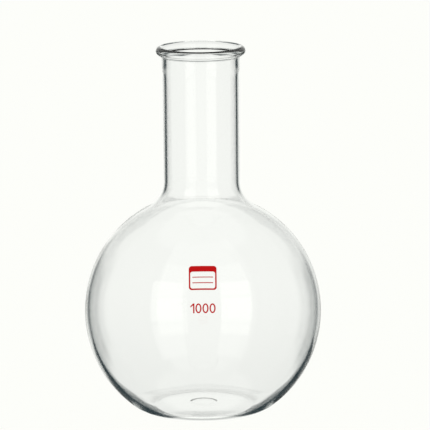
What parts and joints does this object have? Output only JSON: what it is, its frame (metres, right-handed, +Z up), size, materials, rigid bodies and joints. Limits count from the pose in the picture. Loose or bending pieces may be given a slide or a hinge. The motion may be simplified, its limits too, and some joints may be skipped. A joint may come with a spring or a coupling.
{
  "type": "flat-bottom boiling flask",
  "caption": "Clear glass boiling flask with a ball-shaped body, flat raised foot, straight neck and beaded rim, marked in red enamel.",
  "frame": {"origin": "on the bench, at the centre of the ring that the flask stands on", "axes": "+Z up the flask's axis to the open mouth; the enamel marking faces -Y; +X to the right of someone reading it"},
  "size_m": [0.131, 0.131, 0.2035],
  "materials": {
    "clear_glass": "clear, fire-polished borosilicate",
    "red_enamel": "gloss, fired onto the glass"
  },
  "bodies": {
    "root": {"flask_body": "clear_glass", "capacity_numerals": "red_enamel", "writing_panel": "red_enamel"}
  },
  "joints": []
}
